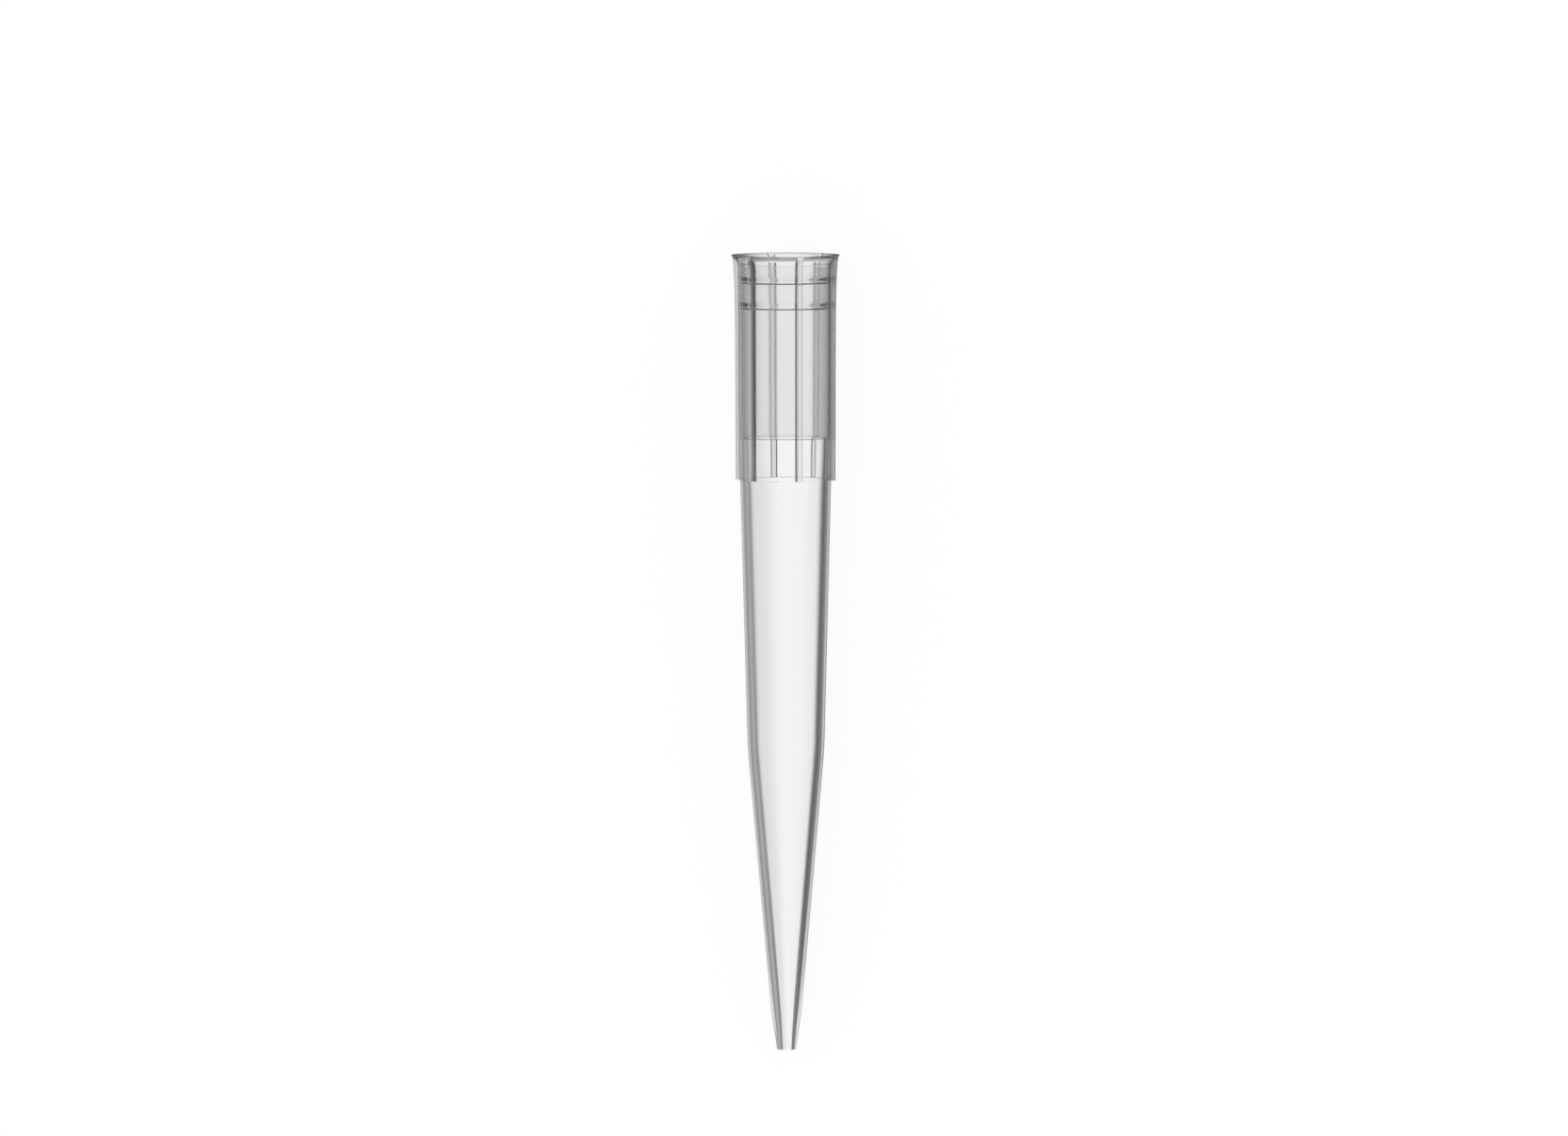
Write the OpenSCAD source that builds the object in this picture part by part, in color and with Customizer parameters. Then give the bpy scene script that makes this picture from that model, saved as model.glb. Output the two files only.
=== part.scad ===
// Disposable pipette tip for a 1000 microlitre pipette, moulded as one thin-walled piece.
//
// Every place along the tip is given as a depth: the distance below the rim, measured
// along the tip's own axis. Diameters start from the socket that takes the pipette's
// nozzle, and the outside follows it by walls and mould drafts.
//
// The tip lies on its side, as it comes to rest on a bench: on the lip of its rim and on
// the bend where the body turns into the long point, with a pair of ribs straddling the
// lowest line. The rim is towards +Y, the point towards -Y, and the bench is z = 0.

/* [Overall] */
// Length from the rim to the end of the point, along the axis
tip_length = 71.7; // [58:0.1:90]

/* [Nozzle socket] */
// Diameter of the socket just below the mouth's lead-in
socket_d = 7.92; // [6.5:0.02:9.6]
// Draft of the socket's wall, in degrees
socket_draft = 0.4; // [0.1:0.05:0.8]
// Depth at which the socket ends in the shoulder
socket_depth = 16.5; // [13:0.1:19.8]
// Height of the shoulder at the socket's end, which is almost square
shoulder_h = 0.04; // [0.02:0.02:0.4]
// How much the mouth is wider than the socket, on each side
mouth_lead = 0.39; // [0.1:0.01:0.48]
// Depth at which the mouth's lead-in meets the socket
mouth_depth = 0.8; // [0.5:0.05:1.2]

/* [Sealing beads] */
// Height of the beads above the socket's wall, at the second bead
bead_h = 0.15; // [0.08:0.01:0.2]
// Depth of the first bead's lower edge
bead_depth = 2.56; // [2:0.02:2.8]
// Distance from the first bead to the second
bead_pitch = 2.3; // [1.8:0.01:3]
// Length of a bead's cylindrical crest
bead_crest = 0.14; // [0.1:0.02:0.3]
// Length of the ramp that leads onto the crest from above
bead_ramp = 0.34; // [0.15:0.01:0.4]
// Length of the steeper step below the crest
bead_step = 0.13; // [0.05:0.01:0.2]

/* [Collar] */
// Wall round the socket, just below the lip
collar_wall = 0.3; // [0.2:0.01:0.5]
// Draft of the collar's outside, in degrees
collar_draft = 0.18; // [0.05:0.01:0.4]
// Depth of the collar's lower end, where the ribs stop
collar_depth = 20.3; // [16.8:0.05:26]

/* [Ribs] */
// Number of ribs round the collar
rib_count = 6; // [4:1:8]
// Width of a rib
rib_w = 0.6; // [0.5:0.02:0.9]
// Height of a rib above the collar's wall
rib_h = 0.4; // [0.3:0.02:0.5]

/* [Lip] */
// How far the lip stands out beyond the ribs
lip_proud = 0.22; // [0.1:0.01:0.5]
// Height of the lip's upright edge
lip_edge = 0.1; // [0.04:0.01:0.15]
// Depth of the corner that the flare under the lip rounds off, at the collar's wall
flare_corner = 0.5; // [0.2:0.05:0.6]
// Depth at which the flare has run out into the collar's wall
flare_depth = 1.2; // [0.8:0.05:1.8]
// Depth of the corner that the ribs' slower flare rounds off
rib_flare_corner = 1.8; // [0.6:0.1:3]
// Depth at which the ribs' flare has run out
rib_flare_depth = 7.5; // [4:0.1:9]

/* [Body] */
// Step from the collar's wall in to the body
collar_step = 0.11; // [0.04:0.01:0.15]
// Draft of the body's outside, in degrees
body_draft = 1.52; // [1.1:0.01:1.9]
// Wall of the body where it leaves the collar
body_wall = 0.64; // [0.5:0.01:0.8]
// Depth of the bend into the point
bend_depth = 44.55; // [36:0.05:54]
// Length over which the bend is rounded
bend_round = 2.4; // [1:0.1:4]
// Wall at the bend
bend_wall = 0.665; // [0.5:0.005:0.8]

/* [Point] */
// Height of the steeper nose at the end of the point
nose_h = 3.7; // [3.2:0.1:6]
// Diameter where the nose begins
nose_d = 2.78; // [2.6:0.01:3.4]
// Diameter over the end of the point
point_d = 1.69; // [1.5:0.01:2]
// Height of the outlet, the last and straightest stretch of the bore
outlet_h = 2.1; // [1.6:0.1:2.8]
// Wall where the outlet begins
outlet_wall = 0.49; // [0.35:0.005:0.56]
// Wall at the end of the point
point_wall = 0.315; // [0.25:0.005:0.38]

/* [Hidden] */
$fn = 96;

// Cutters run past the faces they open by this much
over = 1;
// Straight pieces that stand for one rounded bend or one flare
steps = 8;

// Depths that follow from the sizes above
second_bead_depth = bead_depth + bead_pitch;
bore_depth = socket_depth + shoulder_h;
bend_start = bend_depth - bend_round / 2;
bend_end = bend_depth + bend_round / 2;
nose_depth = tip_length - nose_h;
outlet_depth = tip_length - outlet_h;

// Diameters of the socket and the beads
mouth_d = socket_d + 2 * mouth_lead;
bead_d = socket_d_at(second_bead_depth) - 2 * bead_h;

// Diameters of the outside, from the collar down
collar_top_d = socket_d + 2 * collar_wall;
collar_end_d = drafted(collar_top_d, collar_draft, collar_depth - flare_depth);
rib_top_d = collar_top_d + 2 * rib_h;
rib_foot_d = drafted(rib_top_d, collar_draft, rib_flare_depth - flare_depth);
rib_end_d = collar_end_d + 2 * rib_h;
lip_d = rib_top_d + 2 * lip_proud;
body_top_d = collar_end_d - 2 * collar_step;
bend_start_d = drafted(body_top_d, body_draft, bend_start - collar_depth);
bend_d = drafted(body_top_d, body_draft, bend_depth - collar_depth);
bend_end_d = between([bend_depth, bend_d], [nose_depth, nose_d], bend_end);

// Diameters of the bore, each a wall inside the outside at the same depth
collar_end_bore = [collar_depth, body_top_d - 2 * body_wall];
bend_bore = [bend_depth, bend_d - 2 * bend_wall];
bore_top_d = between(collar_end_bore, bend_bore, bore_depth);
outlet_outside_d = between([nose_depth, nose_d], [tip_length, point_d], outlet_depth);
outlet_top_d = outlet_outside_d - 2 * outlet_wall;
outlet_d = point_d - 2 * point_wall;

// How the tip lies. A straight edge laid along its underside touches the lip, and then
// either the lower end of the collar or the bend, whichever it meets first.
half_rib_pitch = 180 / rib_count;
rib_reach = rib_end_d / 2 * cos(half_rib_pitch - asin(rib_w / rib_end_d));
collar_reach = max(rib_reach, collar_end_d / 2);
rest_tilt = atan(min(
    fall_from_lip(collar_depth, collar_reach),
    fall_from_lip(bend_start, bend_start_d / 2)
));
rim_height = lip_edge * sin(rest_tilt) + lip_d / 2 * cos(rest_tilt);
rim_place = (tip_length * cos(rest_tilt) + (point_d - lip_d) / 2 * sin(rest_tilt)) / 2;

// A point of a turned outline, from its depth below the rim and its diameter
function at(depth, d) = [d / 2, -depth];

// Diameter at the far end of a drafted wall
function drafted(d, draft, length) = d - 2 * length * tan(draft);

// Diameter at a depth on the straight taper through two places, each [depth, diameter]
function between(a, b, depth) = a[1] + (b[1] - a[1]) * (depth - a[0]) / (b[0] - a[0]);

// Diameter of the socket's plain wall at a depth
function socket_d_at(depth) = drafted(socket_d, socket_draft, depth - mouth_depth);

// How fast a straight edge falls from the lip to a place at a depth and a radius
function fall_from_lip(depth, radius) = (lip_d / 2 - radius) / (depth - lip_edge);

// Smooth curve that leaves a towards the corner b and arrives at c from it
function rounded(a, b, c) = [
    for (i = [0:steps])
        let (t = i / steps)
        (1 - t) * (1 - t) * a + 2 * t * (1 - t) * b + t * t * c
];

// Curve of a flare from the lip's edge, towards a corner and out at the end
function flare(corner, end) = rounded(at(lip_edge, lip_d), corner, end);

// Outline of one sealing bead, from its ramp down to its lower edge
function bead(edge_depth) =
    let (crest = edge_depth - bead_step - bead_crest)
    let (ramp = crest - bead_ramp)
    [
        at(ramp, socket_d_at(ramp)),
        at(crest, bead_d),
        at(crest + bead_crest, bead_d),
        at(edge_depth, socket_d_at(edge_depth))
    ];

// Round form from its outline. Its seam lies in the plain wall beside a rib, clear of the
// ribs and of the planes through the tip's middle.
module turned(outline) {
    rotate([0, 0, 90 + half_rib_pitch / 2])
        rotate_extrude()
            polygon(outline);
}

// Solid form of the tip without its ribs and without its bore
module outer_form() {
    turned(concat(
        [at(0, 0), at(0, lip_d)],
        flare(at(flare_corner, collar_top_d), at(flare_depth, collar_top_d)),
        [at(collar_depth, collar_end_d), at(collar_depth, body_top_d)],
        rounded(
            at(bend_start, bend_start_d),
            at(bend_depth, bend_d),
            at(bend_end, bend_end_d)
        ),
        [at(nose_depth, nose_d), at(tip_length, point_d), at(tip_length, 0)]
    ));
}

// Ribs from the lip to the collar's lower end, spaced so that a pair of them straddles
// the side that faces +Y here, which becomes the underside
module ribs() {
    intersection() {
        turned(concat(
            [at(lip_edge, 0)],
            flare(at(rib_flare_corner, rib_top_d), at(rib_flare_depth, rib_foot_d)),
            [at(collar_depth, rib_end_d), at(collar_depth, 0)]
        ));
        for (i = [0:rib_count - 1])
            rotate([0, 0, 90 + (2 * i + 1) * half_rib_pitch])
                translate([0, -rib_w / 2, -collar_depth - over])
                    cube([lip_d, rib_w, collar_depth + over]);
    }
}

// Everything that is open inside: mouth, nozzle socket, bore and outlet
module bore_form() {
    turned(concat(
        [at(-over, 0), at(-over, mouth_d), at(0, mouth_d), at(mouth_depth, socket_d)],
        bead(bead_depth),
        bead(second_bead_depth),
        [at(socket_depth, socket_d_at(socket_depth)), at(bore_depth, bore_top_d)],
        [at(bend_depth, bend_bore[1]), at(outlet_depth, outlet_top_d)],
        [at(tip_length, outlet_d), at(tip_length + over, outlet_d)],
        [at(tip_length + over, 0)]
    ));
}

// The whole tip on end, with its rim at the origin and its point down
module upright_tip() {
    difference() {
        union() {
            outer_form();
            ribs();
        }
        bore_form();
    }
}

// The tip at rest on the bench
module pipette_tip() {
    color([0.88, 0.89, 0.9, 0.5])
        translate([0, rim_place, rim_height])
            rotate([rest_tilt - 90, 0, 0])
                upright_tip();
}

pipette_tip();
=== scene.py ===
import math

import bpy
import numpy as np
from mathutils import Matrix


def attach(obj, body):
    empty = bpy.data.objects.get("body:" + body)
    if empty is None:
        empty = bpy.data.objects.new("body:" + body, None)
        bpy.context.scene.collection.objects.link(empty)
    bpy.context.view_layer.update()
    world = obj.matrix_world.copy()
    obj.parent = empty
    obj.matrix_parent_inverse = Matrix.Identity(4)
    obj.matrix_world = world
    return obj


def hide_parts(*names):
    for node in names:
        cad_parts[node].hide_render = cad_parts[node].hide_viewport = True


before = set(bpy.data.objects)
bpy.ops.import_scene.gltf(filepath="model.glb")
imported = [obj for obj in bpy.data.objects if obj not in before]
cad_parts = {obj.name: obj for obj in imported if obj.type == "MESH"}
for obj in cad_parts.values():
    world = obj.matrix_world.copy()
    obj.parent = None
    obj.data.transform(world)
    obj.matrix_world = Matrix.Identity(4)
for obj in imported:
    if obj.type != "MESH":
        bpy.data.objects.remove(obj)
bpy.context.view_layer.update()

MM = 0.001

# Driving sizes of the tip in millimetres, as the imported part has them. A depth is the
# distance below the rim along the tip's own axis, and an R is a radius.
TIP_LENGTH = 71.7
LIP_R = 4.88
LIP_EDGE = 0.1
FLARE_CORNER = 0.5
FLARE_END = 1.2
RIB_FLARE_CORNER = 1.8
RIB_FLARE_END = 7.5
COLLAR_TOP_R = 4.26
COLLAR_DRAFT = 0.18
COLLAR_DEPTH = 20.3
COLLAR_STEP = 0.11
RIB_COUNT = 6
RIB_HALF_WIDTH = 0.3
RIB_HEIGHT = 0.4
BODY_DRAFT = 1.52
BODY_WALL = 0.64
BEND_DEPTH = 44.55
BEND_HALF_LENGTH = 1.2
BEND_WALL = 0.665
NOSE_DEPTH = 68.0
NOSE_R = 1.39
POINT_R = 0.845
OUTLET_DEPTH = 69.6
OUTLET_WALL = 0.49
POINT_WALL = 0.315
SOCKET_TOP_R = 3.96
SOCKET_DRAFT = 0.4
SOCKET_DEPTH = 16.5
SHOULDER = 0.04
MOUTH_R = 4.35
MOUTH_DEPTH = 0.8
BEAD_EDGES = (2.56, 4.86)
BEAD_HEIGHT = 0.15
BEAD_CREST = 0.14
BEAD_RAMP = 0.34
BEAD_STEP = 0.13

# How finely the surface is laid out
HALF_SECTOR_CREST = 2
FILLET_STEPS = 4
HALF_SECTOR_WALL = 13
LONGEST_STEP = 2.4
SUPPORT = 0.03
CORNER_STEPS = 5
FLARE_RINGS = 30
FLARE_GATHER = 2.2
STEADY_SHARE = 0.55
OWN_SHARE = 0.45
LIP_CORNER_CUT = 0.04

# How satin the flare under the lip is: shares at depths below the rim
FLARE_SATIN_DEPTHS = (0.1, 0.15, 0.22, 0.4, 0.5)
FLARE_SATIN_SHARES = (0.3, 0.2, 0.5, 0.8, 0.0)

# Radii of the mould's edges round a rib, and how far its sides spread towards the root
RIB_CREST_EDGE = 0.2
RIB_ROOT_EDGE = 0.04
RIB_SIDE_SPREAD = 0.02


def drafted(radius, draft, length):
    """Radius at the far end of a drafted wall: the start less length times tan(draft)."""
    return radius - length * math.tan(math.radians(draft))


def between(a, b, depth):
    """Radius at a depth on the straight taper through two places (depth, radius)."""
    return a[1] + (b[1] - a[1]) * (depth - a[0]) / (b[0] - a[0])


def socket_r(depth):
    """Radius of the socket's plain wall at a depth."""
    return drafted(SOCKET_TOP_R, SOCKET_DRAFT, depth - MOUTH_DEPTH)


def lead_in_r(depth):
    """Radius of the mouth's lead-in at a depth."""
    return between((0, MOUTH_R), (MOUTH_DEPTH, SOCKET_TOP_R), depth)


def collar_end_r():
    """Radius of the collar's wall at its lower end."""
    return drafted(COLLAR_TOP_R, COLLAR_DRAFT, COLLAR_DEPTH - FLARE_END)


def body_r(depth):
    """Radius of the body's outside at a depth from the collar's end to the bend."""
    return drafted(collar_end_r() - COLLAR_STEP, BODY_DRAFT, depth - COLLAR_DEPTH)


def bore_r(depth):
    """Radius of the bore at a depth above the bend. It is a wall inside the body where
    the body leaves the collar, and at the bend."""
    collar_bore = (COLLAR_DEPTH, body_r(COLLAR_DEPTH) - BODY_WALL)
    bend_bore = (BEND_DEPTH, body_r(BEND_DEPTH) - BEND_WALL)
    return between(collar_bore, bend_bore, depth)


def flare(depth, wall, corner, end):
    """Radius of the flare under the lip. It is the quadratic curve that leaves the lip's
    edge towards the corner and runs out into the wall. Its share t solves
    depth = edge + 2 (corner - edge) t + (edge - 2 corner + end) t^2, and the radius is
    the wall's plus (1 - t)^2 times what the lip stands out from it."""
    bow = LIP_EDGE - 2 * corner + end
    rise = corner - LIP_EDGE
    share = (np.sqrt(rise**2 + bow * (depth - LIP_EDGE)) - rise) / bow
    return wall + (LIP_R - wall) * (1 - np.clip(share, 0, 1)) ** 2


def row(depth, wall, cut=0.0, satin=0.0, crest=None, half=RIB_HALF_WIDTH, even=1.0):
    """One ring of the outline: depth, wall radius, rib crest radius, rib half width,
    how evenly its points are spread, satin share, and the cut its corner is rounded by."""
    return [depth, wall, wall if crest is None else crest, half, even, satin, cut]


def flare_rows():
    """Rings of the flare, closer together near the lip. The ribs grow out of it, and
    their points gather from an even spread once the ribs stand clear."""
    share = np.linspace(0, 1, FLARE_RINGS) ** FLARE_GATHER
    depth = LIP_EDGE + (RIB_FLARE_END - LIP_EDGE) * share
    drawn_in = drafted(0, COLLAR_DRAFT, np.maximum(depth - FLARE_END, 0))
    wall = flare(depth, COLLAR_TOP_R, FLARE_CORNER, FLARE_END) + drawn_in
    rib_top = COLLAR_TOP_R + RIB_HEIGHT
    crest = flare(depth, rib_top, RIB_FLARE_CORNER, RIB_FLARE_END) + drawn_in
    rest = np.zeros_like(depth)
    satin = np.interp(depth, FLARE_SATIN_DEPTHS, FLARE_SATIN_SHARES)
    rows = np.column_stack([depth, wall, crest, rest + RIB_HALF_WIDTH, rest, satin, rest])
    rows[0, -1] = LIP_CORNER_CUT
    return rows


def outside_rows():
    """Rings from the rim down the outside to the end of the point."""
    collar_end = collar_end_r()
    rib_end = collar_end + RIB_HEIGHT
    inner_lip = 0.06
    edge = 0.03
    return np.vstack(
        [
            [
                row(inner_lip, lead_in_r(inner_lip)),
                row(0, MOUTH_R, cut=inner_lip, satin=1.0),
                row(0, LIP_R, cut=0.05, satin=1.0, even=0.0),
            ],
            flare_rows(),
            [
                row(COLLAR_DEPTH, collar_end, cut=edge, crest=rib_end, even=0.0),
                row(
                    COLLAR_DEPTH,
                    collar_end - edge,
                    crest=rib_end - edge,
                    half=RIB_HALF_WIDTH - edge,
                    even=0.0,
                ),
                row(COLLAR_DEPTH, collar_end - 1.5 * edge),
                row(COLLAR_DEPTH, body_r(COLLAR_DEPTH), cut=0.02),
                row(BEND_DEPTH, body_r(BEND_DEPTH), cut=BEND_HALF_LENGTH),
                row(NOSE_DEPTH, NOSE_R, cut=0.5),
                row(TIP_LENGTH, POINT_R, cut=0.03),
            ],
        ]
    )


def bead_rows(edge_depth):
    """Rings of one sealing bead, from its lower edge up to the start of its ramp."""
    crest_r = socket_r(BEAD_EDGES[1]) - BEAD_HEIGHT
    low = edge_depth - BEAD_STEP
    high = low - BEAD_CREST
    ramp = high - BEAD_RAMP
    return [
        row(edge_depth, socket_r(edge_depth), cut=0.02, satin=1.0),
        row(low, crest_r, cut=0.03, satin=1.0),
        row(high, crest_r, cut=0.06, satin=1.0),
        row(ramp, socket_r(ramp), cut=0.08, satin=1.0),
    ]


def inside_rows():
    """Rings from the end of the point up the bore and the socket to the mouth."""
    nose, end = (NOSE_DEPTH, NOSE_R), (TIP_LENGTH, POINT_R)
    outlet_r = between(nose, end, OUTLET_DEPTH) - OUTLET_WALL
    bore_top = SOCKET_DEPTH + SHOULDER
    bore_polished = bore_top + 0.1
    mouth_polished = MOUTH_DEPTH - 0.05
    return np.array(
        [
            row(TIP_LENGTH, POINT_R - POINT_WALL, cut=0.03),
            row(OUTLET_DEPTH, outlet_r, cut=0.3),
            row(BEND_DEPTH, body_r(BEND_DEPTH) - BEND_WALL, cut=1.0),
            row(bore_polished, bore_r(bore_polished)),
            row(bore_top, bore_r(bore_top), cut=0.02, satin=1.0),
            row(SOCKET_DEPTH, socket_r(SOCKET_DEPTH), cut=0.02, satin=1.0),
            *bead_rows(BEAD_EDGES[1]),
            *bead_rows(BEAD_EDGES[0]),
            row(MOUTH_DEPTH, SOCKET_TOP_R, cut=0.03, satin=1.0),
            row(mouth_polished, lead_in_r(mouth_polished)),
        ]
    )


def softened(rows):
    """Rounds each corner of the closed outline: for a corner c with the edge points a
    and b, one cut's length before and after it, the curve is
    (1 - t)^2 a + 2 t (1 - t) c + t^2 b. Corners with no cut stay as one ring."""
    values, cut = rows[:, :-1], rows[:, -1]
    share = np.linspace(0, 1, CORNER_STEPS + 1)[None, :, None]
    sides = []
    for shift in (1, -1):
        step = np.roll(values, shift, axis=0) - values
        length = np.hypot(step[:, 0], step[:, 1])
        sides.append(values + step * (np.minimum(cut, length) / length)[:, None])
    before, after = sides[0][:, None], sides[1][:, None]
    arcs = (
        (1 - share) ** 2 * before
        + 2 * share * (1 - share) * values[:, None]
        + share**2 * after
    )
    arcs = arcs.reshape(-1, values.shape[1])
    gap = np.abs(arcs - np.roll(arcs, 1, axis=0)).max(axis=1)
    return arcs[gap > 1e-7]


def spaced(rings):
    """Adds rings to the closed outline: one close to every ring that is there, which
    holds the shading of a rounded edge to the edge, and more along the long runs."""
    closed = np.vstack([rings, rings[:1]])
    step = np.diff(closed[:, :2], axis=0)
    along = np.concatenate([[0], np.cumsum(np.maximum(np.hypot(*step.T), 1e-4))])
    long_runs = np.diff(along) > 3 * SUPPORT
    starts, ends = along[:-1][long_runs], along[1:][long_runs]
    count = np.ceil((ends - starts - 2 * SUPPORT) / LONGEST_STEP).astype(int)
    run = np.repeat(np.arange(len(count)), count)
    place = np.arange(len(run)) - np.repeat(np.cumsum(count) - count, count)
    inner = (
        starts[run] + SUPPORT + (ends - starts - 2 * SUPPORT)[run] * place / count[run]
    )
    places = np.unique(np.round(np.concatenate([along, inner, ends - SUPPORT]), 7))
    places = places[places < along[-1] - 1e-6]
    columns = [np.interp(places, along, closed[:, k]) for k in range(closed.shape[1])]
    return np.column_stack(columns)


def half_sector(rings):
    """Radius and angle of the points from a rib's middle to the middle of the wall beside
    it, for every ring. A rib point is a distance x beside the rib's middle plane at a
    radius r, so its angle is asin(x / r). The crest edge and the root edge are quarter
    ellipses, no higher than half the rib, and the wall takes even steps in angle."""
    wall, crest, half, even = (rings[:, k, None] for k in (1, 2, 3, 4))
    height = crest - wall
    top_edge = np.minimum(RIB_CREST_EDGE, height / 2)
    root_edge = np.minimum(RIB_ROOT_EDGE, height / 2)
    turn = np.linspace(0, math.pi / 2, FILLET_STEPS + 1)[None]
    flat = np.linspace(0, 1, HALF_SECTOR_CREST + 1)[None, :-1]
    x = np.hstack(
        [
            flat * (half - RIB_CREST_EDGE),
            half - RIB_CREST_EDGE * (1 - np.sin(turn)),
            half + RIB_SIDE_SPREAD + RIB_ROOT_EDGE * (1 - np.cos(turn)),
        ]
    )
    r = np.hstack(
        [
            crest + 0 * flat,
            crest - top_edge * (1 - np.cos(turn)),
            wall + root_edge * (1 - np.sin(turn)),
        ]
    )
    rib_angle = np.arcsin(x / r)
    root = rib_angle[:, -1:]
    sector = math.pi / RIB_COUNT
    wall_share = np.linspace(0, 1, HALF_SECTOR_WALL + 1)[None, 1:]
    angle = np.hstack([rib_angle, root + (sector - root) * wall_share])
    radius = np.hstack([r, wall + 0 * wall_share])
    steady = sector * np.linspace(0, 1, angle.shape[1])[None]
    gathered = STEADY_SHARE * steady + OWN_SHARE * angle
    return radius, even * gathered + (1 - even) * angle


def around(rings):
    """Radius and angle of every point of every ring: the half sector mirrored about the
    rib's middle and repeated for each rib, with a pair of ribs beside the underside."""
    radius, angle = half_sector(rings)
    radius = np.hstack([radius[:, -2:0:-1], radius])
    angle = np.hstack([-angle[:, -2:0:-1], angle])
    pitch = 2 * math.pi / RIB_COUNT
    middles = math.pi / 2 + pitch * (np.arange(RIB_COUNT) + 0.5)
    angle = (middles[None, :, None] + angle[:, None, :]).reshape(len(rings), -1)
    return np.tile(radius, (1, RIB_COUNT)), angle


def laid_down(x, y, depth):
    """Places the upright tip at rest: it leans on its lip and on the bend, so it tilts by
    the angle whose tangent is (lip radius - bend radius) over the depth between them.
    The underside is the tip's own +y, and the rim's middle sits over the lip's lowest
    point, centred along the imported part's box."""
    bend_start = BEND_DEPTH - BEND_HALF_LENGTH
    tilt = math.atan((LIP_R - body_r(bend_start)) / (bend_start - LIP_EDGE))
    sine, cosine = math.sin(tilt), math.cos(tilt)
    rim_height = LIP_EDGE * sine + LIP_R * cosine
    rim_place = (TIP_LENGTH * cosine + (POINT_R - LIP_R) * sine) / 2
    return np.stack(
        [
            x,
            rim_place + y * sine - depth * cosine,
            rim_height - y * cosine - depth * sine,
        ],
        axis=-1,
    )


def grid_mesh(name, points, values, finish):
    """Closed mesh from a grid of points that joins up in both directions: one quad
    between each ring and the next, turned so that it faces outwards. values holds
    point attributes by name, as arrays of the grid's shape. finish is 0 or 1 at each
    point, and a face takes the second material where all four of its points have 1."""
    rings, count = points.shape[:2]
    index = np.arange(rings * count).reshape(rings, count)
    beside = np.roll(index, -1, axis=1)
    quads = np.stack(
        [index, np.roll(index, -1, axis=0), np.roll(beside, -1, axis=0), beside],
        axis=-1,
    ).reshape(-1, 4)
    mesh = bpy.data.meshes.new(name)
    mesh.vertices.add(rings * count)
    mesh.vertices.foreach_set("co", points.astype(np.float32).ravel())
    mesh.loops.add(quads.size)
    mesh.loops.foreach_set("vertex_index", quads.astype(np.int32).ravel())
    mesh.polygons.add(len(quads))
    mesh.polygons.foreach_set("loop_start", np.arange(0, quads.size, 4, dtype=np.int32))
    second = finish.ravel()[quads].min(axis=1)
    mesh.polygons.foreach_set("material_index", second.astype(np.int32))
    mesh.update(calc_edges=True)
    for key, array in values.items():
        layer = mesh.attributes.new(key, "FLOAT", "POINT")
        layer.data.foreach_set("value", array.astype(np.float32).ravel())
    mesh.shade_smooth()
    return mesh


def tip_piece():
    """The whole tip as one closed grid, in which the ring runs along the closed outline
    and the point runs round the axis."""
    outline = np.vstack([outside_rows(), inside_rows()])
    rings = spaced(softened(outline))
    radius, angle = around(rings)
    depth = np.broadcast_to(rings[:, :1], radius.shape)
    points = laid_down(radius * np.cos(angle), radius * np.sin(angle), depth) * MM
    on_rib = radius - rings[:, 1:2] > RIB_ROOT_EDGE / 2
    satin = np.broadcast_to(rings[:, 5:6], radius.shape)
    mesh = grid_mesh("moulded_tip", points, {"satin": satin}, on_rib)
    piece = bpy.data.objects.new("moulded_tip", mesh)
    bpy.context.scene.collection.objects.link(piece)
    return piece


# Materials

PLASTIC_IOR = 1.49

# Scales of the grain and of the waviness, and how far the waviness is drawn out
GRAIN_SCALE = 9000.0
WAVE_SCALE = 260.0
DRAWN_OUT = 0.18

# Facing, from 0 square on to 1 edge on, at which a wall starts to be steep and is steep;
# the satin and milky finishes take their painted edge shade over this span
STEEP_WALL = (0.14, 0.5)

# The painted dark outline, painted shade where the wall turns edge on: how late it sets
# in, and its tone
PAINTED_OUTLINE_POWER = 4.0
PAINTED_OUTLINE_SHADE = (0.2, 0.2, 0.2, 1)

# Roughness where polished, and where satin or milky: the least, and what the grain adds
POLISHED_ROUGHNESS = 0.03
SATIN_ROUGHNESS = (0.11, 0.06)
MILKY_ROUGHNESS = (0.12, 0.08)

# Tints of each finish, seen square on, and with painted edge shade, seen edge on
POLISHED_TINT_AND_EDGE_SHADE = ((0.99, 0.992, 0.992, 1), (0.72, 0.725, 0.73, 1))
SATIN_TINT_AND_EDGE_SHADE = ((0.85, 0.855, 0.855, 1), (0.3, 0.305, 0.31, 1))
MILKY_TINT_AND_EDGE_SHADE = ((0.76, 0.765, 0.765, 1), (0.58, 0.585, 0.59, 1))

# How late the polished finish darkens into its painted edge shade, and how much light
# passes into each plastic
POLISHED_EDGE_SHADE_POWER = 1.3
CLEAR_TRANSMISSION = 1.0
MILKY_TRANSMISSION = 0.85


def node(tree, kind, **inputs):
    """Adds a shader node and sets its inputs by name, with _ for a space. A socket given
    as the value is linked."""
    made = tree.nodes.new("ShaderNode" + kind)
    for name, value in inputs.items():
        put(tree, made, name.replace("_", " "), value)
    return made


def put(tree, made, name, value):
    """Links a socket into a node's input, or sets the input's value."""
    if isinstance(value, bpy.types.NodeSocket):
        tree.links.new(value, made.inputs[name])
    else:
        made.inputs[name].default_value = value


def maths(tree, operation, *values):
    """Adds a Math node on the given values or sockets and returns its output."""
    made = tree.nodes.new("ShaderNodeMath")
    made.operation = operation
    for place, value in enumerate(values):
        put(tree, made, place, value)
    return made.outputs[0]


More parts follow.
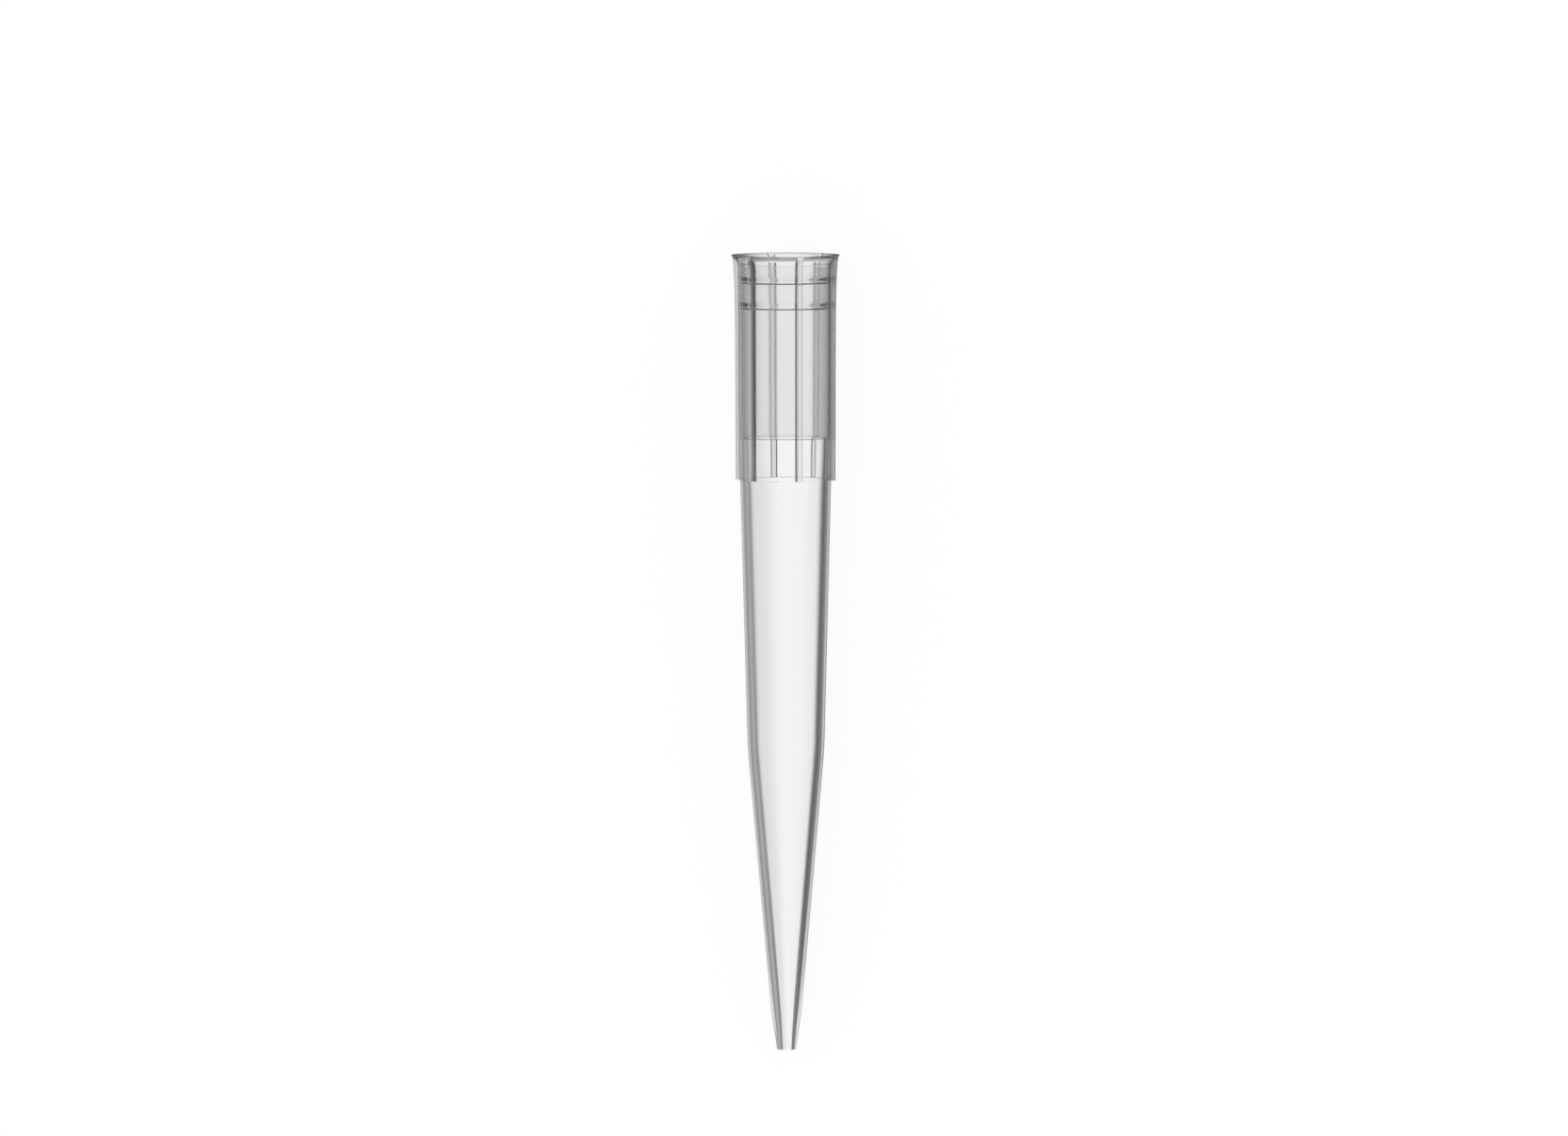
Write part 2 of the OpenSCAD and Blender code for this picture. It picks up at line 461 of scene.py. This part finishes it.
def stepped(tree, value, low, high):
    """A smooth step of a value, from 0 at low to 1 at high."""
    made = tree.nodes.new("ShaderNodeMapRange")
    made.interpolation_type = "SMOOTHSTEP"
    put(tree, made, "Value", value)
    put(tree, made, "From Min", low)
    put(tree, made, "From Max", high)
    return made.outputs["Result"]


def mixed_colour(tree, factor, first, second, blend="MIX"):
    """Mixes two colours, or sockets, by a factor."""
    made = node(tree, "Mix", Factor=factor)
    made.data_type = "RGBA"
    made.blend_type = blend
    put(tree, made, 6, first)
    put(tree, made, 7, second)
    return made.outputs[2]


def new_material(name):
    """A material with an empty node tree."""
    material = bpy.data.materials.new(name)
    material.use_nodes = True
    material.node_tree.nodes.clear()
    return material


def moulded_grain():
    """Node group: the fine grain that a spark-eroded core leaves, and the slow waviness
    of a thin moulded wall, drawn out along the tip."""
    tree = bpy.data.node_groups.new("moulded_grain", "ShaderNodeTree")
    face = tree.interface
    face.new_socket("Vector", in_out="INPUT", socket_type="NodeSocketVector")
    for name, value in (("Grain Scale", GRAIN_SCALE), ("Wave Scale", WAVE_SCALE)):
        made = face.new_socket(name, in_out="INPUT", socket_type="NodeSocketFloat")
        made.default_value = value
    face.new_socket("Grain", in_out="OUTPUT", socket_type="NodeSocketFloat")
    face.new_socket("Wave", in_out="OUTPUT", socket_type="NodeSocketFloat")
    inside = tree.nodes.new("NodeGroupInput")
    outside = tree.nodes.new("NodeGroupOutput")
    place = inside.outputs["Vector"]
    grain = node(
        tree,
        "TexNoise",
        Vector=place,
        Scale=inside.outputs["Grain Scale"],
        Detail=2.0,
        Roughness=0.6,
    )
    drawn = node(tree, "Mapping", Vector=place, Scale=(1.0, DRAWN_OUT, 1.0))
    wave = node(
        tree,
        "TexNoise",
        Vector=drawn.outputs[0],
        Scale=inside.outputs["Wave Scale"],
        Detail=1.0,
        Roughness=0.4,
    )
    tree.links.new(grain.outputs["Fac"], outside.inputs["Grain"])
    tree.links.new(wave.outputs["Fac"], outside.inputs["Wave"])
    return tree


def moulded_surface(tree, grain_group):
    """Grain node, facing socket, and a smooth step of facing, which every finish of the
    tip starts from."""
    place = node(tree, "TexCoord")
    grain = tree.nodes.new("ShaderNodeGroup")
    grain.node_tree = grain_group
    tree.links.new(place.outputs["Object"], grain.inputs["Vector"])
    facing = node(tree, "LayerWeight", Blend=0.5).outputs["Facing"]
    return grain, facing, stepped(tree, facing, *STEEP_WALL)


def with_painted_outline(tree, facing, colour):
    """The colour with a painted dark outline: painted shade where the wall turns away from
    view altogether.
    """
    away = maths(tree, "POWER", facing, PAINTED_OUTLINE_POWER)
    return mixed_colour(tree, away, colour, PAINTED_OUTLINE_SHADE, "MULTIPLY")


def mottled(tree, grain, roughness):
    """Roughness from its least value and what the grain adds to it."""
    least, added = roughness
    return maths(tree, "MULTIPLY_ADD", grain.outputs["Grain"], added, least)


def moulded_normal(tree, grain, fine_height):
    """Normal bent by the fine grain and by the slow waviness of the wall."""
    fine = node(tree, "Bump", Strength=0.1, Distance=0.00002, Height=fine_height)
    waves = node(
        tree,
        "Bump",
        Strength=0.15,
        Distance=0.00003,
        Height=grain.outputs["Wave"],
        Normal=fine.outputs[0],
    )
    return waves.outputs[0]


def plastic_shader(tree, colour, roughness, transmission, normal):
    """Makes the plastic's shader the material's surface."""
    plastic = node(
        tree,
        "BsdfPrincipled",
        Base_Color=colour,
        Roughness=roughness,
        IOR=PLASTIC_IOR,
        Transmission_Weight=transmission,
        Metallic=0.0,
        Normal=normal,
    )
    node(tree, "OutputMaterial", Surface=plastic.outputs[0])


def clear_plastic(grain_group):
    """Clear polypropylene: polished outside and in the bore, satin in the socket, with
    painted shade where the wall is seen edge on and a painted dark outline. The fine grain
    shows only where it is satin."""
    material = new_material("clear_polypropylene")
    tree = material.node_tree
    grain, facing, steep = moulded_surface(tree, grain_group)
    attribute = tree.nodes.new("ShaderNodeAttribute")
    attribute.attribute_name = "satin"
    satin = attribute.outputs["Fac"]
    rougher = mottled(tree, grain, SATIN_ROUGHNESS)
    rougher = maths(tree, "SUBTRACT", rougher, POLISHED_ROUGHNESS)
    roughness = maths(tree, "MULTIPLY_ADD", satin, rougher, POLISHED_ROUGHNESS)
    # Painted edge shade: the polished finish darkens as the wall turns edge on, the satin
    # one where the wall is steep
    edge_on = maths(tree, "POWER", facing, POLISHED_EDGE_SHADE_POWER)
    polished = mixed_colour(tree, edge_on, *POLISHED_TINT_AND_EDGE_SHADE)
    satin_and_edge_shade = mixed_colour(tree, steep, *SATIN_TINT_AND_EDGE_SHADE)
    tint_and_edge_shade = mixed_colour(tree, satin, polished, satin_and_edge_shade)
    height = maths(tree, "MULTIPLY", grain.outputs["Grain"], satin)
    normal = moulded_normal(tree, grain, height)
    # Painted dark outline where the wall turns away from view
    colour = with_painted_outline(tree, facing, tint_and_edge_shade)
    plastic_shader(tree, colour, roughness, CLEAR_TRANSMISSION, normal)
    return material


def milky_plastic(grain_group):
    """The same plastic where it is thickest, in the ribs: milkier, with a satin skin,
    painted shade where the wall is steep, and a painted dark outline.
    """
    material = new_material("milky_polypropylene")
    tree = material.node_tree
    grain, facing, steep = moulded_surface(tree, grain_group)
    roughness = mottled(tree, grain, MILKY_ROUGHNESS)
    # Painted edge shade: the milky finish darkens where the wall is steep
    tint_and_edge_shade = mixed_colour(tree, steep, *MILKY_TINT_AND_EDGE_SHADE)
    normal = moulded_normal(tree, grain, grain.outputs["Grain"])
    # Painted dark outline where the wall turns away from view
    colour = with_painted_outline(tree, facing, tint_and_edge_shade)
    plastic_shader(tree, colour, roughness, MILKY_TRANSMISSION, normal)
    return material


# Studio. Each pair of places is where a tone starts and where it is full; the tones on the
# floor are painted shade, which only rays off or through the plastic see. Places across
# the floor are in half widths of the tip from its axis, and places along it in metres.

FLOOR_HALF = 3.0

# Half width of the tip by the place along it: slope and start of the body's taper and of
# the point's, the least, where the collar sets in, and how much wider it is
BODY_TAPER = (0.0257, 0.0037)
POINT_TAPER = (0.0909, 0.00427)
LEAST_HALF_WIDTH = 0.0005
COLLAR_PLACES = (0.0145, 0.0165)
COLLAR_WIDER = 0.15
AXIS_OFFSET = 0.24

# Painted shade beside the tip, on the floor as rays through the plastic see it: the two
# places across the floor, and the light each takes
SOFT_PAINTED_SHADE = (-0.1, -0.7, 0.15)
LEFT_PAINTED_SHADE = (-1.05, -1.5, 0.62)
RIGHT_PAINTED_SHADE = (0.88, 1.42, 0.92)
NEAR_PLACES = (6.0, 2.5)

# Facing of the floor at which a ray starts to be steep and is steep
STEEP_RAY = (0.52, 0.36)

# Rays mirrored inside: how far they see the painted shade beside the tip, the painted
# shade they see on the floor, and what they lose of the sky's light
MIRRORED_SHARE = 0.8
MIRRORED_FLOOR_PAINTED_SHADE = 0.4
MIRRORED_SKY_LOSS = 0.82

# The painted shade past the rim, and the painted dark strip of shade close beside the tip
PAST_RIM_PLACES = (0.0358, 0.037)
PAST_RIM_END = (0.07, 0.05)
PAST_RIM_PAINTED_SHADE = 0.5
STRIP_PLACES = (1.55, 1.3)
PAINTED_STRIP_SHADE = 0.9

# The floor's own light, what it gains through the plastic, and its tones as a matt face
OWN_LIGHT = 0.9
THROUGH_LIGHT = 0.1
LIT_TONE = 0.8
SHADOW_TONE = 0.105

# Camera: lens and sensor, the width of its view at the tip, and its clipping in metres
LENS = 1200.0
SENSOR_WIDTH = 36.0
VIEW_WIDTH = 141.27
CLIP = (0.05, 20.0)

# Its turn about the tip's axis, lean towards the rim and roll, in degrees, and the place
# it aims at: how far below the rim along the axis, and how far to the left of the axis
CAMERA_TURN = 13.7
CAMERA_LEAN = 2.75
CAMERA_ROLL = -0.08
AIM_DEPTH = 28.255
AIM_LEFT = 0.16


def shown_rays(tree, path):
    """Mask of the rays that show what stands behind the object: camera, glossy and
    transmission rays."""
    glossy, through = path.outputs["Is Glossy Ray"], path.outputs["Is Transmission Ray"]
    turned = maths(tree, "MAXIMUM", glossy, through)
    return maths(tree, "MAXIMUM", path.outputs["Is Camera Ray"], turned)


def mirrored_rays(tree, path):
    """Mask of the rays that have crossed a wall and that a wall has mirrored."""
    bounced = maths(tree, "MINIMUM", path.outputs["Glossy Depth"], 1.0)
    crossed = maths(tree, "MINIMUM", path.outputs["Transmission Depth"], 1.0)
    return maths(tree, "MULTIPLY", bounced, crossed)


def remaining(tree, mask, loss):
    """What a mask leaves of the light: 1 less the loss times the mask."""
    return maths(tree, "MULTIPLY_ADD", mask, -loss, 1.0)


def toned(tree, value, low, high, share):
    """A share of the smooth step of a value from low to high."""
    return maths(tree, "MULTIPLY", stepped(tree, value, low, high), share)


def beside_tip(tree):
    """Place across the floor in half widths of the tip, counted from where its axis is
    seen against the floor, and the place along it. The half width narrows towards the
    point in two stretches."""
    place = node(tree, "TexCoord")
    split = node(tree, "SeparateXYZ", Vector=place.outputs["Object"])
    along = split.outputs["Y"]
    body = maths(tree, "MULTIPLY_ADD", along, *BODY_TAPER)
    point = maths(tree, "MULTIPLY_ADD", along, *POINT_TAPER)
    half = maths(tree, "MINIMUM", body, point)
    half = maths(tree, "MAXIMUM", half, LEAST_HALF_WIDTH)
    collar = stepped(tree, along, *COLLAR_PLACES)
    wider = maths(tree, "MULTIPLY_ADD", collar, COLLAR_WIDER, 1.0)
    half = maths(tree, "MULTIPLY", half, wider)
    across = maths(tree, "DIVIDE", split.outputs["X"], half)
    return maths(tree, "ADD", across, AXIS_OFFSET), along


def painted_side_shade(tree, across):
    """Light that the painted shade beside the tip takes, by the place across the floor."""
    soft = toned(tree, across, *SOFT_PAINTED_SHADE)
    left = toned(tree, across, *LEFT_PAINTED_SHADE)
    right = toned(tree, across, *RIGHT_PAINTED_SHADE)
    return maths(tree, "ADD", soft, maths(tree, "ADD", left, right))


def floor_light(tree, path, shown):
    """How brightly the floor shows. Rays that come steeply through the plastic, or that it
    has mirrored, see painted shade on it beside the tip, and steep ones see painted shade
    past the rim too. Rays that a wall turns back outside see a painted, nearly black strip
    of shade close beside the tip."""
    through = path.outputs["Is Transmission Ray"]
    mirrored = mirrored_rays(tree, path)
    across, along = beside_tip(tree)
    distance = maths(tree, "ABSOLUTE", across)
    facing = node(tree, "LayerWeight", Blend=0.5).outputs["Facing"]
    steep = toned(tree, facing, *STEEP_RAY, through)
    near = toned(tree, distance, *NEAR_PLACES, steep)
    inner = maths(tree, "MULTIPLY", mirrored, MIRRORED_SHARE)
    kind = maths(tree, "MULTIPLY", maths(tree, "MAXIMUM", near, inner), through)
    # Painted shade on the floor beside the tip, for rays through the plastic
    loss = maths(tree, "MULTIPLY", painted_side_shade(tree, across), kind)
    level = maths(tree, "SUBTRACT", 1.0, loss)
    # Painted shade on the floor for rays that a wall has mirrored inside
    floor_left = remaining(tree, mirrored, MIRRORED_FLOOR_PAINTED_SHADE)
    level = maths(tree, "MINIMUM", level, floor_left)
    # Painted shade on the floor past the rim, for steep rays through the plastic
    past_rim = toned(tree, along, *PAST_RIM_PLACES, stepped(tree, along, *PAST_RIM_END))
    past_rim = maths(tree, "MULTIPLY", past_rim, steep)
    level = maths(tree, "MULTIPLY", level, remaining(tree, past_rim, PAST_RIM_PAINTED_SHADE))
    # Painted dark strip of shade beside the tip, seen in the plastic's outer reflections
    turned_back = maths(tree, "SUBTRACT", path.outputs["Is Glossy Ray"], through)
    turned_back = maths(tree, "MAXIMUM", turned_back, 0.0)
    strip = toned(tree, distance, *STRIP_PLACES, turned_back)
    level = maths(tree, "MULTIPLY", level, remaining(tree, strip, PAINTED_STRIP_SHADE))
    own = maths(tree, "MULTIPLY_ADD", through, THROUGH_LIGHT, OWN_LIGHT)
    return maths(tree, "MULTIPLY", shown, maths(tree, "MULTIPLY", own, level))


def matt(tree, tone):
    """Matt shader of an even grey."""
    return node(tree, "BsdfDiffuse", Color=(tone, tone, tone, 1)).outputs[0]


def mixed_shader(tree, share, first, second):
    """Mixes two shaders by a share, from the first to the second."""
    made = tree.nodes.new("ShaderNodeMixShader")
    for place, socket in enumerate((share, first, second)):
        tree.links.new(socket, made.inputs[place])
    return made.outputs[0]


def pale_floor():
    """Plain pale floor: it shows white by its own light, and keeps a matt share that takes
    the shadow. Seen through the plastic it is its own light alone, with painted shade
    beside the tip."""
    material = new_material("pale_floor")
    tree = material.node_tree
    path = node(tree, "LightPath")
    shown = shown_rays(tree, path)
    through = path.outputs["Is Transmission Ray"]
    seen = mixed_shader(tree, through, matt(tree, SHADOW_TONE), matt(tree, 0.0))
    face = mixed_shader(tree, shown, matt(tree, LIT_TONE), seen)
    light = node(tree, "Emission", Strength=floor_light(tree, path, shown))
    both = tree.nodes.new("ShaderNodeAddShader")
    tree.links.new(face, both.inputs[0])
    tree.links.new(light.outputs[0], both.inputs[1])
    node(tree, "OutputMaterial", Surface=both.outputs[0])
    return material


def studio_floor():
    """A flat square floor under the tip."""
    half = FLOOR_HALF
    corners = [(-half, -half, 0), (half, -half, 0), (half, half, 0), (-half, half, 0)]
    mesh = bpy.data.meshes.new("floor")
    mesh.from_pydata(corners, [], [(0, 1, 2, 3)])
    floor = bpy.data.objects.new("floor", mesh)
    bpy.context.scene.collection.objects.link(floor)
    mesh.materials.append(pale_floor())


def studio_light():
    """Soft light from all round, white wherever it is seen or seen through, and dimmer
    to rays that a wall has mirrored inside."""
    world = bpy.data.worlds.new("studio")
    bpy.context.scene.world = world
    world.use_nodes = True
    tree = world.node_tree
    tree.nodes.clear()
    mirrored = mirrored_rays(tree, node(tree, "LightPath"))
    level = remaining(tree, mirrored, MIRRORED_SKY_LOSS)
    sky = node(tree, "Background", Color=(1, 1, 1, 1), Strength=level)
    node(tree, "OutputWorld", Surface=sky.outputs[0])


def camera_place():
    """The camera's right, top and back directions and the place it aims at. It looks
    down on the tip, turned a little about the tip's axis and leant towards its rim."""
    turn, lean, roll = np.radians([CAMERA_TURN, CAMERA_LEAN, CAMERA_ROLL])
    rim = laid_down(0.0, 0.0, 0.0)
    axis = (rim - laid_down(0.0, 0.0, TIP_LENGTH)) / TIP_LENGTH
    side = np.array([1.0, 0.0, 0.0])
    up = np.cross(side, axis)
    square = math.cos(turn) * up + math.sin(turn) * side
    back = math.cos(lean) * square + math.sin(lean) * axis
    right = np.cross(axis, back)
    right /= np.linalg.norm(right)
    target = rim - axis * AIM_DEPTH - right * AIM_LEFT
    top = np.cross(back, right)
    rolled_right = math.cos(roll) * right + math.sin(roll) * top
    rolled_top = math.cos(roll) * top - math.sin(roll) * right
    return rolled_right, rolled_top, back, target


def camera():
    """A long lens over the tip. It aims at a place on the axis, so that the tip stands a
    little below the middle."""
    right, top, back, target = camera_place()
    data = bpy.data.cameras.new("camera")
    data.lens = LENS
    data.sensor_width = SENSOR_WIDTH
    data.clip_start, data.clip_end = CLIP
    made = bpy.data.objects.new("camera", data)
    bpy.context.scene.collection.objects.link(made)
    matrix = np.eye(4)
    matrix[:3, :3] = np.column_stack([right, top, back])
    matrix[:3, 3] = (target + back * VIEW_WIDTH * LENS / SENSOR_WIDTH) * MM
    made.matrix_world = Matrix(matrix)
    bpy.context.scene.camera = made


def main():
    """Builds the tip, its materials, the studio and the camera."""
    tip = tip_piece()
    grain = moulded_grain()
    tip.data.materials.append(clear_plastic(grain))
    tip.data.materials.append(milky_plastic(grain))
    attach(tip, "root")
    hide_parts("pipette_tip")
    studio_floor()
    studio_light()
    camera()
    bpy.context.scene.view_settings.view_transform = "Standard"


main()
